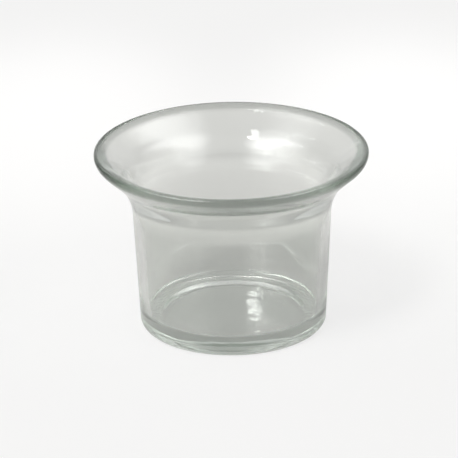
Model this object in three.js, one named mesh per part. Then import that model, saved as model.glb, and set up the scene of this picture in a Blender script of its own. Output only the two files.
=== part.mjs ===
// Flared votive candle holder, pressed in one piece of clear glass.
// Millimetres, +Z up, origin on the table at the middle of the foot.
import * as THREE from 'three';

// Driving dimensions

// overall
const rimDiameter = 74;
const height = 50;

// foot and underside
const footDiameter = 50.8;
const heelRadius = 2;
const recessDiameter = 39.8;
const recessDepth = 0.45;
const recessEdgeWidth = 0.8;

// body
const wallThickness = 2.5;
const floorThickness = 5.2;
const floorCornerRadius = 0.8;

// flare and lip
const flareRadius = 16.3;
const flareEndDegrees = 42.8;
const innerFlareRadius = 8.5;
const innerFlareEndDegrees = 36.5;
const lipRun = 5.5;
const lipCurlRadius = 2.7;
const lipTopRadius = 0.8;
const lipWidth = 3.3;
const creaseDrop = 0.9;

// fineness of the faceted surfaces
const facetsAround = 64;
const arcStepDegrees = 15;

const glassColour = '#c9d2c9';

const quarterTurn = Math.PI / 2;

// The profile is drawn in the plane of r, the distance from the axis, and z, the height.
// An angle there is measured from the +r direction towards +z.
function towards(angle, distance) {
  return new THREE.Vector2(Math.cos(angle), Math.sin(angle)).multiplyScalar(distance);
}

// Points of an arc about a centre, from one angle to another, both ends included.
function arc(centre, radius, from, to) {
  const step = THREE.MathUtils.degToRad(arcStepDegrees);
  const steps = Math.max(2, Math.ceil(Math.abs(to - from) / step));
  const points = [];
  for (let i = 0; i <= steps; i += 1) {
    const angle = from + ((to - from) * i) / steps;
    points.push(centre.clone().add(towards(angle, radius)));
  }
  return points;
}

// Direction of the straight line that passes outside one circle and then inside another.
function lineBetween(lower, lowerRadius, upper, upperRadius) {
  const span = upper.clone().sub(lower);
  const reach = Math.acos(-(lowerRadius + upperRadius) / span.length());
  return span.angle() - quarterTurn + reach;
}

// Angle about a circle's centre at which a line from a point below it touches its far side.
function touchAngle(point, centre, radius) {
  const span = centre.clone().sub(point);
  return span.angle() + Math.PI - Math.acos(radius / span.length());
}

// Where two lines meet, each given by a point and a direction.
function crossing(start, direction, otherStart, otherDirection) {
  const ahead = towards(direction, 1);
  const other = towards(otherDirection, 1);
  const distance = otherStart.clone().sub(start).cross(other) / ahead.cross(other);
  return start.clone().add(towards(direction, distance));
}

// Centre of the arc that rounds the corner of two lines, both of them to the left of it.
function roundedCorner(start, direction, end, endDirection, radius) {
  const track = start.clone().add(towards(direction - quarterTurn, radius));
  const endTrack = end.clone().add(towards(endDirection - quarterTurn, radius));
  return crossing(track, direction, endTrack, endDirection);
}

// Outside of the lip and flare, laid out from the rim downwards
const rimRadius = rimDiameter / 2;
const flareEnd = THREE.MathUtils.degToRad(flareEndDegrees);
const lipTopCentre = new THREE.Vector2(rimRadius - lipTopRadius, height - lipTopRadius);
const curlCentre = new THREE.Vector2(rimRadius - lipCurlRadius, lipTopCentre.y);
const curlStart = curlCentre.clone().add(towards(flareEnd - quarterTurn, lipCurlRadius));
const flareTop = curlStart.clone().sub(towards(flareEnd, lipRun));
const flareCentre = flareTop.clone().add(towards(flareEnd - quarterTurn, flareRadius));

// Outside of the body: a cone that touches both the heel and the flare
const heelCentre = new THREE.Vector2(footDiameter / 2 - heelRadius, heelRadius);
const bodyLine = lineBetween(heelCentre, heelRadius, flareCentre, flareRadius);

// Inside of the glass: a cone one wall thickness in from the body, then a flare, straight near the crease
const wallFoot = heelCentre.clone().add(towards(bodyLine - quarterTurn, heelRadius - wallThickness));
const lipCrease = new THREE.Vector2(rimRadius - lipWidth, height - creaseDrop);
const innerFlareEnd = THREE.MathUtils.degToRad(innerFlareEndDegrees);
const innerFlareCentre = roundedCorner(wallFoot, bodyLine, lipCrease, innerFlareEnd, innerFlareRadius);
const lipTouch = touchAngle(lipCrease, lipTopCentre, lipTopRadius);

// The floor's corner touches the floor and the inside of the body
const cornerZ = floorThickness + floorCornerRadius;
const wallAtCorner = wallFoot.x + (cornerZ - wallFoot.y) / Math.tan(bodyLine);
const cornerCentre = new THREE.Vector2(wallAtCorner - floorCornerRadius / Math.sin(bodyLine), cornerZ);

function glassProfile() {
  const recessRadius = recessDiameter / 2;
  return [
    new THREE.Vector2(0, recessDepth),
    new THREE.Vector2(recessRadius - recessEdgeWidth, recessDepth),
    new THREE.Vector2(recessRadius, 0),
    ...arc(heelCentre, heelRadius, -quarterTurn, bodyLine - quarterTurn),
    ...arc(flareCentre, flareRadius, bodyLine + quarterTurn, flareEnd + quarterTurn),
    ...arc(curlCentre, lipCurlRadius, flareEnd - quarterTurn, 0),
    ...arc(lipTopCentre, lipTopRadius, 0, lipTouch).slice(1),
    lipCrease,
    ...arc(innerFlareCentre, innerFlareRadius, innerFlareEnd + quarterTurn, bodyLine + quarterTurn),
    ...arc(cornerCentre, floorCornerRadius, bodyLine - quarterTurn, -quarterTurn),
    new THREE.Vector2(0, floorThickness),
  ];
}

// The whole holder is one pressing: foot, body, flare and lip
function votiveGlass() {
  const geometry = new THREE.LatheGeometry(glassProfile(), facetsAround);
  geometry.rotateX(quarterTurn);
  const material = new THREE.MeshStandardMaterial({
    color: glassColour,
    roughness: 0.05,
    metalness: 0,
    transparent: true,
    opacity: 0.4,
  });
  const mesh = new THREE.Mesh(geometry, material);
  mesh.name = 'votive_glass';
  return mesh;
}

const votiveHolder = new THREE.Group();
votiveHolder.add(votiveGlass());

export default votiveHolder;
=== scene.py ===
import math
import bpy
from mathutils import Matrix, Vector


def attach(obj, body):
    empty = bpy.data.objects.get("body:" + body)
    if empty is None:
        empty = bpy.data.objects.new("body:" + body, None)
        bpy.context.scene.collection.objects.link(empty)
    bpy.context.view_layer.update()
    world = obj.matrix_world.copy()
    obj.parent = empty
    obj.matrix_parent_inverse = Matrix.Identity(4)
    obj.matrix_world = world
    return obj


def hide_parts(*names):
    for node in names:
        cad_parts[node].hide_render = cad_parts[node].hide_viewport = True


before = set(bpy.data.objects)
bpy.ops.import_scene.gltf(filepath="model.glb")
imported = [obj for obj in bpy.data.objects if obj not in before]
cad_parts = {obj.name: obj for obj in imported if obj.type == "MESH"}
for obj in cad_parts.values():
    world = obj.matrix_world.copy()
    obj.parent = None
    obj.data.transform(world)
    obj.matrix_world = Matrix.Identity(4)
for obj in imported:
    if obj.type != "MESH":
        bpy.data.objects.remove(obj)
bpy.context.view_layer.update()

MM = 0.001


# Camera
# A long lens about a metre away looks down at the cup, so that the far rim and the floor of the cup both
# show. Its place and aim were measured on the rim, the sides and the foot.
def make_camera():
    distance = 951.4 * MM
    look_down = math.radians(22.8)
    aim_height = 22 * MM
    frame_pixels = 458
    focal_pixels = 3500
    pan, tilt, roll = math.radians(0.053), math.radians(-0.264), math.radians(-0.797)
    forward = Vector((0, math.cos(look_down), -math.sin(look_down)))
    right = Vector((1, 0, 0))
    up = right.cross(forward)
    trim = Matrix.Rotation(roll, 3, "Z") @ Matrix.Rotation(tilt, 3, "X") @ Matrix.Rotation(pan, 3, "Y")
    rows = trim @ Matrix((right, -up, forward))
    lens = bpy.data.cameras.new("cup_camera")
    lens.sensor_width = 36
    lens.lens = focal_pixels / frame_pixels * lens.sensor_width
    lens.clip_start = 0.01
    lens.clip_end = 50
    camera = bpy.data.objects.new("cup_camera", lens)
    place = Matrix((rows[0], -rows[1], -rows[2])).transposed().to_4x4()
    place.translation = Vector((0, 0, aim_height)) - forward * distance
    camera.matrix_world = place
    bpy.context.scene.collection.objects.link(camera)
    bpy.context.scene.camera = camera


make_camera()


# Votive glass
# The whole holder is one pressing of clear soda-lime glass: a thick foot with a knurled bearing ring
# round a shallow recess, a nearly straight body, a flare and a heavy rounded lip.
def towards(angle, distance):
    return Vector((math.cos(angle), math.sin(angle))) * distance


def arc_points(centre, radius, start, end, steps):
    return [centre + towards(start + (end - start) * i / steps, radius) for i in range(steps + 1)]


def line_points(start, end, steps):
    """Points between two ends, without the ends."""
    return [start.lerp(end, i / steps) for i in range(1, steps)]


def line_angle(span):
    return math.atan2(span.y, span.x)


def crossing(start, heading, other_start, other_heading):
    """Where two lines meet, each given by a point and an angle."""
    ahead, other = towards(heading, 1), towards(other_heading, 1)
    gap = other_start - start
    return start + ahead * ((gap.x * other.y - gap.y * other.x) / (ahead.x * other.y - ahead.y * other.x))


def glass_profile():
    """Half section of the glass, from the middle of the underside round the lip to the middle of the floor,
    with the inner and outer radius of the flat ring that it stands on."""
    quarter = math.pi / 2
    rim_radius, height = 37 * MM, 50 * MM
    heel_radius, foot_radius = 2 * MM, 25.4 * MM
    wall, floor_thickness, corner_radius = 2.5 * MM, 5.2 * MM, 0.8 * MM
    recess_radius, recess_depth, recess_edge = 19.9 * MM, 0.45 * MM, 0.8 * MM
    flare_radius, flare_end, lip_run = 16.3 * MM, math.radians(42.8), 5.5 * MM
    curl_radius, lip_top_radius = 2.7 * MM, 0.8 * MM
    lip_width, crease_drop = 3.3 * MM, 0.9 * MM
    inner_flare_radius, inner_flare_end = 8.5 * MM, math.radians(36.5)

    lip_top = Vector((rim_radius - lip_top_radius, height - lip_top_radius))
    curl = Vector((rim_radius - curl_radius, lip_top.y))
    curl_start = curl + towards(flare_end - quarter, curl_radius)
    flare_top = curl_start - towards(flare_end, lip_run)
    flare = flare_top + towards(flare_end - quarter, flare_radius)
    heel = Vector((foot_radius - heel_radius, heel_radius))
    span = flare - heel
    body = line_angle(span) - quarter + math.acos(-(heel_radius + flare_radius) / span.length)

    wall_foot = heel + towards(body - quarter, heel_radius - wall)
    crease = Vector((rim_radius - lip_width, height - crease_drop))
    inner_flare = crossing(wall_foot + towards(body - quarter, inner_flare_radius), body,
                           crease + towards(inner_flare_end - quarter, inner_flare_radius), inner_flare_end)
    to_top = lip_top - crease
    lip_touch = line_angle(to_top) + math.pi - math.acos(lip_top_radius / to_top.length)

    corner_height = floor_thickness + corner_radius
    wall_at_corner = wall_foot.x + (corner_height - wall_foot.y) / math.tan(body)
    corner = Vector((wall_at_corner - corner_radius / math.sin(body), corner_height))

    underside = Vector((0, recess_depth))
    recess_rim = Vector((recess_radius - recess_edge, recess_depth))
    ring_inside = Vector((recess_radius, 0))
    heel_arc = arc_points(heel, heel_radius, -quarter, body - quarter, steps=14)
    flare_arc = arc_points(flare, flare_radius, body + quarter, flare_end + quarter, steps=22)
    curl_arc = arc_points(curl, curl_radius, flare_end - quarter, 0, steps=14)
    top_arc = arc_points(lip_top, lip_top_radius, 0, lip_touch, steps=16)
    inner_arc = arc_points(inner_flare, inner_flare_radius,
                           inner_flare_end + quarter, body + quarter, steps=18)
    corner_arc = arc_points(corner, corner_radius, body - quarter, -quarter, steps=10)
    middle = Vector((0, floor_thickness))
    points = [underside, *line_points(underside, recess_rim, steps=5), recess_rim, ring_inside]
    points += line_points(ring_inside, heel_arc[0], steps=12) + heel_arc
    points += line_points(heel_arc[-1], flare_arc[0], steps=8) + flare_arc
    points += line_points(flare_arc[-1], curl_arc[0], steps=3) + curl_arc + top_arc[1:]
    points += line_points(top_arc[-1], crease, steps=3) + [crease]
    points += line_points(crease, inner_arc[0], steps=6) + inner_arc
    points += line_points(inner_arc[-1], corner_arc[0], steps=8) + corner_arc
    points += line_points(corner_arc[-1], middle, steps=5) + [middle]
    return points, ring_inside.x, heel_arc[0].x


def profile_wire(points):
    """The half section as a chain of edges in the XZ plane, for the lathe tree to turn."""
    mesh = bpy.data.meshes.new("glass_section")
    links = [(i, i + 1) for i in range(len(points) - 1)]
    mesh.from_pydata([(p.x, 0, p.y) for p in points], links, [])
    wire = bpy.data.objects.new("votive_clear_glass", mesh)
    bpy.context.scene.collection.objects.link(wire)
    return wire


class NodeBench:
    """Places nodes in a tree and joins them: a value that isn't a socket is set on the input itself."""

    def __init__(self, tree):
        self.tree = tree

    def add(self, kind, settings=None, inputs=None):
        node = self.tree.nodes.new(kind)
        for name, value in (settings or {}).items():
            setattr(node, name, value)
        for name, value in (inputs or {}).items():
            if isinstance(value, bpy.types.NodeSocket):
                self.tree.links.new(value, node.inputs[name])
            else:
                node.inputs[name].default_value = value
        return node

    def math(self, operation, first, second=0.0):
        return self.add("ShaderNodeMath", {"operation": operation}, {0: first, 1: second}).outputs[0]

    def spread(self, value, start, end, low=0.0, high=1.0, way="LINEAR"):
        """Runs from low to high while the value goes from start to end, and stays there beyond them."""
        return self.add("ShaderNodeMapRange", {"interpolation_type": way},
                        {"Value": value, 1: start, 2: end, 3: low, 4: high}).outputs[0]


def lathe_tree(glass_material):
    """Turns the section about Z, cuts the bearing ring's knurling and makes the walls slightly uneven."""
    tree = bpy.data.node_groups.new("turn_votive_glass", "GeometryNodeTree")
    face = tree.interface
    face.new_socket("Section", in_out="INPUT", socket_type="NodeSocketGeometry")
    for name in ("Sides", "Knurls"):
        face.new_socket(name, in_out="INPUT", socket_type="NodeSocketInt")
    for name in ("Knurl depth", "Ring inside", "Ring outside", "Waviness", "Wave scale"):
        face.new_socket(name, in_out="INPUT", socket_type="NodeSocketFloat")
    face.new_socket("Glass", in_out="OUTPUT", socket_type="NodeSocketGeometry")
    bench = NodeBench(tree)
    given = tree.nodes.new("NodeGroupInput").outputs
    add, calc = bench.add, bench.math

    # a sheet with a row for each point of the section and a column for each side, the first one twice
    rows = add("GeometryNodeAttributeDomainSize", {"component": "MESH"}, {"Geometry": given["Section"]})
    rows = rows.outputs["Point Count"]
    columns = calc("ADD", given["Sides"], 1)
    sheet = add("GeometryNodeMeshGrid", None,
                {"Size X": 1, "Size Y": 1, "Vertices X": columns, "Vertices Y": rows})
    index = tree.nodes.new("GeometryNodeInputIndex").outputs[0]
    row = calc("MODULO", index, rows)
    column = calc("FLOOR", calc("DIVIDE", calc("ADD", index, 0.5), rows))
    turn = calc("MULTIPLY", calc("DIVIDE", column, given["Sides"]), 2 * math.pi)

    position = tree.nodes.new("GeometryNodeInputPosition").outputs[0]
    sample = add("GeometryNodeSampleIndex", {"data_type": "FLOAT_VECTOR", "domain": "POINT"},
                 {"Geometry": given["Section"], "Index": row, "Value": position})
    point = add("ShaderNodeSeparateXYZ", None, {0: sample.outputs[0]})
    radius, level = point.outputs["X"], point.outputs["Z"]

    # the knurling: radial cuts in three rows across the flat ring
    knurl_rows = 3
    flat_limit = 1e-6
    width = calc("SUBTRACT", given["Ring outside"], given["Ring inside"])
    across = calc("DIVIDE", calc("SUBTRACT", radius, given["Ring inside"]), width)
    across = add("ShaderNodeClamp", None, {"Value": across}).outputs[0]
    hump = calc("SINE", calc("MULTIPLY", across, knurl_rows * math.pi))
    on_table = calc("LESS_THAN", calc("ABSOLUTE", level), flat_limit)
    around = calc("SINE", calc("MULTIPLY", turn, given["Knurls"]))
    cut = calc("MULTIPLY", calc("ADD", calc("MULTIPLY", around, 0.5), 0.5), calc("ABSOLUTE", hump))
    lift = calc("MULTIPLY", calc("MULTIPLY", cut, on_table), given["Knurl depth"])

    # the sheet is wound round the axis, and its seam and poles are closed
    merge_distance = 1e-6
    x = calc("MULTIPLY", radius, calc("COSINE", turn))
    y = calc("MULTIPLY", radius, calc("SINE", turn))
    spot = add("ShaderNodeCombineXYZ", None, {"X": x, "Y": y, "Z": calc("ADD", level, lift)}).outputs[0]
    turned = add("GeometryNodeSetPosition", None, {"Geometry": sheet.outputs["Mesh"], "Position": spot})
    closed = add("GeometryNodeMergeByDistance", None,
                 {"Geometry": turned.outputs[0], "Distance": merge_distance})

    # the walls sink inwards by a smooth noise, but not where the holder stands on the table
    wave_start, wave_full = 0.5 * MM, 4 * MM
    noise = add("ShaderNodeTexNoise", {"noise_dimensions": "3D", "normalize": True},
                {"Vector": position, "Scale": given["Wave scale"], "Detail": 1.0, "Roughness": 0.4})
    inward = calc("MULTIPLY", noise.outputs[0], calc("MULTIPLY", given["Waviness"], -1))
    here = add("ShaderNodeSeparateXYZ", None, {0: position})
    inward = calc("MULTIPLY", inward, bench.spread(here.outputs["Z"], wave_start, wave_full))
    normal = tree.nodes.new("GeometryNodeInputNormal").outputs[0]
    push = add("ShaderNodeVectorMath", {"operation": "SCALE"}, {0: normal, "Scale": inward}).outputs[0]
    waved = add("GeometryNodeSetPosition", None, {"Geometry": closed.outputs[0], "Offset": push})
    smooth = add("GeometryNodeSetShadeSmooth", None, {"Geometry": waved.outputs[0], "Shade Smooth": True})
    real = add("GeometryNodeRealizeInstances", None, {"Geometry": smooth.outputs[0]})
    done = add("GeometryNodeSetMaterial", None, {"Geometry": real.outputs[0], "Material": glass_material})
    out = tree.nodes.new("NodeGroupOutput")
    tree.links.new(done.outputs[0], out.inputs["Glass"])
    return tree


def clear_glass():
    """Grey-green soda-lime glass with the ripple, drawn streaks and hazy patches of a pressing, and a painted
    shade that darkens the lip.
    """
    refraction = 1.5
    thin_tint, deep_tint = (0.892, 0.902, 0.886, 1), (0.866, 0.880, 0.862, 1)
    # the lip's darker colour is painted shade for light lost in the thick lip; its haze is real roughness
    lip_painted_shade, lip_haze, patch_haze = (0.76, 0.77, 0.76, 1), 0.20, 0.03
    crease_start, crease_full = 33.4 * MM, 33.9 * MM
    lip_start, lip_full = 46.6 * MM, 47.4 * MM
    mottle_scale, patch_scale, ripple_scale, streak_scale = 45, 120, 160, 150
    mottle_range, patch_range, streak_stretch = (0.3, 0.7), (0.35, 0.75), (1, 1, 0.12)
    streak_start, streak_full, streak_share = 5.4 * MM, 9 * MM, 3.0
    relief_strength, relief_height = 0.12, 0.2 * MM
    bulk_tint, bulk_density = (0.42, 0.49, 0.42, 1), 13

    material = bpy.data.materials.new("clear_pressed_glass")
    material.use_nodes = True
    tree = material.node_tree
    bench = NodeBench(tree)
    shader = tree.nodes["Principled BSDF"]
    shader.inputs["Transmission Weight"].default_value = 1
    shader.inputs["IOR"].default_value = refraction
    place = tree.nodes.new("ShaderNodeTexCoord").outputs["Object"]
    level = bench.add("ShaderNodeSeparateXYZ", None, {"Vector": place}).outputs["Z"]

    # the rounded lip, outside its crease and above the flare, is hazier than the walls, and its colour is
    # darkened by a painted shade that stands for light lost in the thick lip
    flat = bench.add("ShaderNodeVectorMath", {"operation": "MULTIPLY"}, {0: place, 1: (1, 1, 0)})
    from_axis = bench.add("ShaderNodeVectorMath", {"operation": "LENGTH"}, {0: flat.outputs[0]})
    outside_crease = bench.spread(from_axis.outputs["Value"], crease_start, crease_full)
    above_flare = bench.spread(level, lip_start, lip_full)
    at_lip = bench.math("MINIMUM", outside_crease, above_flare)

    mottle = bench.add("ShaderNodeTexNoise", None, {"Vector": place, "Scale": mottle_scale, "Detail": 2})
    tint = bench.add("ShaderNodeValToRGB", None, {"Fac": mottle.outputs[0]})
    for element, spot, colour in zip(tint.color_ramp.elements, mottle_range, (deep_tint, thin_tint)):
        element.position = spot
        element.color = colour
    # painted shade: the lip's colour is multiplied darker here
    tint = bench.add("ShaderNodeMix", {"data_type": "RGBA", "blend_type": "MULTIPLY"},
                     {0: at_lip, 6: tint.outputs[0], 7: lip_painted_shade})
    tree.links.new(tint.outputs[2], shader.inputs["Base Color"])

    patches = bench.add("ShaderNodeTexNoise", None, {"Vector": place, "Scale": patch_scale, "Detail": 3})
    rough = bench.spread(patches.outputs[0], *patch_range, 0.0, patch_haze)
    rough = bench.math("ADD", rough, bench.math("MULTIPLY", at_lip, lip_haze))
    tree.links.new(rough, shader.inputs["Roughness"])

    ripple = bench.add("ShaderNodeTexNoise", None, {"Vector": place, "Scale": ripple_scale, "Detail": 1.5})
    drawn = bench.add("ShaderNodeVectorMath", {"operation": "MULTIPLY"}, {0: place, 1: streak_stretch})
    streaks = bench.add("ShaderNodeTexNoise", None,
                        {"Vector": drawn.outputs[0], "Scale": streak_scale, "Detail": 2})
    above_floor = bench.spread(level, streak_start, streak_full, 0.0, streak_share)
    relief = bench.math("ADD", bench.math("MULTIPLY", streaks.outputs[0], above_floor), ripple.outputs[0])
    bump = bench.add("ShaderNodeBump", None,
                     {"Height": relief, "Strength": relief_strength, "Distance": relief_height})
    tree.links.new(bump.outputs[0], shader.inputs["Normal"])

    bulk = bench.add("ShaderNodeVolumeAbsorption", None, {"Color": bulk_tint, "Density": bulk_density})
    tree.links.new(bulk.outputs[0], tree.nodes["Material Output"].inputs["Volume"])
    return material


def make_votive_glass():
    points, ring_inside, ring_outside = glass_profile()
    wire = profile_wire(points)
    tree = lathe_tree(clear_glass())
    turning = wire.modifiers.new("turning", "NODES")
    turning.node_group = tree
    sizes = {"Sides": 544, "Knurls": 136, "Knurl depth": 0.12 * MM, "Ring inside": ring_inside,
             "Ring outside": ring_outside, "Waviness": 0.03 * MM, "Wave scale": 90.0}
    sockets = {item.name: item.identifier for item in tree.interface.items_tree if item.in_out == "INPUT"}
    for name, value in sizes.items():
        turning[sockets[name]] = value
    turned = wire.evaluated_get(bpy.context.evaluated_depsgraph_get())
    mesh = bpy.data.meshes.new_from_object(turned)
    wire.modifiers.remove(turning)
    wire.data = mesh
    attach(wire, "root")
    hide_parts("votive_glass")


make_votive_glass()


# Table top
# A plain table in matt off-white, wide enough to fill the view from every side. It takes the cup's soft
# shadow. The camera sees it lifted to near white, and through the glass it is lifted less.
def make_table():
    half, level = 3.0, -0.02 * MM
    colour, roughness = (0.69, 0.68, 0.66, 1), 0.9
    seen_share, seen_strength = 0.75, 0.99
    glass_share, glass_strength = 0.45, 0.64
    corners = [(-half, -half, level), (half, -half, level), (half, half, level), (-half, half, level)]
    mesh = bpy.data.meshes.new("table_top")
    mesh.from_pydata(corners, [], [(0, 1, 2, 3)])
    table = bpy.data.objects.new("table_top", mesh)
    bpy.context.scene.collection.objects.link(table)
    paint = bpy.data.materials.new("white_table")
    paint.use_nodes = True
    tree = paint.node_tree
    shader = tree.nodes["Principled BSDF"]
    shader.inputs["Roughness"].default_value = roughness
    shader.inputs["Specular IOR Level"].default_value = 0
    shader.inputs["Base Color"].default_value = colour
    bench = NodeBench(tree)
    rays = tree.nodes.new("ShaderNodeLightPath").outputs
    through = bench.math("MAXIMUM", rays["Is Glossy Ray"], rays["Is Transmission Ray"])
    through = bench.math("MULTIPLY", through, glass_share)
    direct = bench.math("MULTIPLY", rays["Is Camera Ray"], seen_share)
    strength = bench.spread(rays["Is Camera Ray"], 0, 1, glass_strength, seen_strength)
    glow = bench.add("ShaderNodeEmission", None, {"Strength": strength})
    share = bench.math("ADD", through, direct)
    lifted = bench.add("ShaderNodeMixShader", None, {0: share, 1: shader.outputs[0], 2: glow.outputs[0]})
    tree.links.new(lifted.outputs[0], tree.nodes["Material Output"].inputs["Surface"])
    mesh.materials.append(paint)


make_table()


# Daylight
# A white room on all sides, seen by the camera and through the glass, and a little dimmer as a light.
def make_room():
    light_strength, seen_strength = 0.52, 0.78
    world = bpy.data.worlds.new("white_room")
    bpy.context.scene.world = world
    world.use_nodes = True
    tree = world.node_tree
    bench = NodeBench(tree)
    rays = tree.nodes.new("ShaderNodeLightPath").outputs
    seen = bench.math("MAXIMUM", rays["Is Camera Ray"], rays["Is Glossy Ray"])
    seen = bench.math("MAXIMUM", seen, rays["Is Transmission Ray"])
    strength = bench.spread(seen, 0, 1, light_strength, seen_strength)
    tree.links.new(strength, tree.nodes["Background"].inputs["Strength"])
    tree.nodes["Background"].inputs["Color"].default_value = (1, 1, 1, 1)


make_room()


# Lamps
# Window panes to the left of the camera and small lamps at both sides, whose reflections are bright marks
# in the glass, and a soft key that casts the cup's shadow. All of them face the middle of the foot.
def direction(bearing, rise):
    """Which way a light stands: degrees to the right of the camera, and degrees above the table."""
    side, lift = math.radians(bearing), math.radians(rise)
    return Vector((math.sin(side) * math.cos(lift), -math.cos(side) * math.cos(lift), math.sin(lift)))


def make_lamp(name, bearing, rise, distance, width, height, watts, mirrored=True):
    data = bpy.data.lights.new(name, "AREA")
    data.shape = "RECTANGLE"
    data.size, data.size_y, data.energy = width, height, watts
    lamp = bpy.data.objects.new(name, data)
    lamp.location = direction(bearing, rise) * distance
    lamp.rotation_euler = (-lamp.location).to_track_quat("-Z", "Y").to_euler()
    lamp.visible_glossy = lamp.visible_transmission = mirrored
    bpy.context.scene.collection.objects.link(lamp)


make_lamp("window_high", bearing=-31, rise=52, distance=2.0, width=0.24, height=0.36, watts=7)
make_lamp("window_low", bearing=-29, rise=23, distance=2.2, width=0.10, height=0.30, watts=1.5)
make_lamp("side_lamp", bearing=56, rise=48, distance=2.0, width=0.08, height=0.08, watts=1.0)
make_lamp("far_lamp", bearing=-100, rise=35, distance=2.0, width=0.20, height=0.06, watts=0.8)
make_lamp("soft_key", bearing=-35, rise=60, distance=2.0, width=0.5, height=0.5, watts=14, mirrored=False)


# Pools of light
# Two spots behind the cup brighten the table where it is seen through the left and the right of the flare.
# They are a metre away from the patch that they light, and don't mirror in the glass.
def make_pool(name, x, y, patch_radius, watts):
    rise = math.radians(35)
    data = bpy.data.lights.new(name, "SPOT")
    data.energy = watts
    data.spot_size = 2 * math.atan(patch_radius)
    data.spot_blend = 1.0
    data.shadow_soft_size = 20 * MM
    lamp = bpy.data.objects.new(name, data)
    up_the_beam = Vector((0, math.cos(rise), math.sin(rise)))
    lamp.location = Vector((x, y, 0)) + up_the_beam
    lamp.rotation_euler = up_the_beam.to_track_quat("Z", "Y").to_euler()
    lamp.visible_glossy = lamp.visible_transmission = False
    bpy.context.scene.collection.objects.link(lamp)


make_pool("left_pool", x=-56 * MM, y=150 * MM, patch_radius=65 * MM, watts=40)
make_pool("right_pool", x=54 * MM, y=150 * MM, patch_radius=65 * MM, watts=46)


# Soft panels
# Panels that fade out towards their edges, for the glass alone to mirror: two large bright ones and a small
# one behind the cup, and two dark ones that draw its sides. They light nothing else and aren't seen directly.
def make_panel(name, bearing, rise, distance, width, height, strength):
    fade_start, fade_end = 0.35, 1.0
    mesh = bpy.data.meshes.new(name)
    mesh.from_pydata([(-1, -1, 0), (1, -1, 0), (1, 1, 0), (-1, 1, 0)], [], [(0, 1, 2, 3)])
    panel = bpy.data.objects.new(name, mesh)
    bpy.context.scene.collection.objects.link(panel)
    panel.location = direction(bearing, rise) * distance
    panel.rotation_euler = (-panel.location).to_track_quat("Z", "Y").to_euler()
    panel.scale = (width / 2, height / 2, 1)
    cloth = bpy.data.materials.new(name)
    cloth.use_nodes = True
    tree = cloth.node_tree
    bench = NodeBench(tree)
    place = tree.nodes.new("ShaderNodeTexCoord").outputs["Object"]
    apart = bench.add("ShaderNodeVectorMath", {"operation": "LENGTH"}, {0: place}).outputs["Value"]
    fade = bench.spread(apart, fade_start, fade_end, 1.0, 0.0, way="SMOOTHSTEP")
    glow = bench.add("ShaderNodeEmission", None, {"Strength": strength})
    clear = tree.nodes.new("ShaderNodeBsdfTransparent")
    mixed = bench.add("ShaderNodeMixShader", None, {0: fade, 1: clear.outputs[0], 2: glow.outputs[0]})
    tree.links.new(mixed.outputs[0], tree.nodes["Material Output"].inputs["Surface"])
    mesh.materials.append(cloth)
    panel.visible_camera = panel.visible_diffuse = panel.visible_shadow = False


make_panel("left_panel", bearing=-60, rise=25, distance=1.5, width=3.0, height=2.4, strength=6.8)
make_panel("right_panel", bearing=80, rise=35, distance=1.5, width=3.2, height=2.8, strength=4.8)
make_panel("back_panel", bearing=178.3, rise=23.9, distance=2.0, width=0.036, height=0.034, strength=5)
for name, bearing in (("left_shade", -100), ("right_shade", 100)):
    make_panel(name, bearing, rise=16, distance=0.25, width=0.8, height=0.36, strength=0.3)


# Light paths
# Light that enters the lip or the foot runs down inside the wall, turned back dozens of times, before it
# leaves. With fewer turns those parts of the glass would come out black.
turns = 48
scene = bpy.context.scene
scene.cycles.max_bounces = scene.cycles.glossy_bounces = scene.cycles.transmission_bounces = turns
scene.view_settings.view_transform = "Standard"
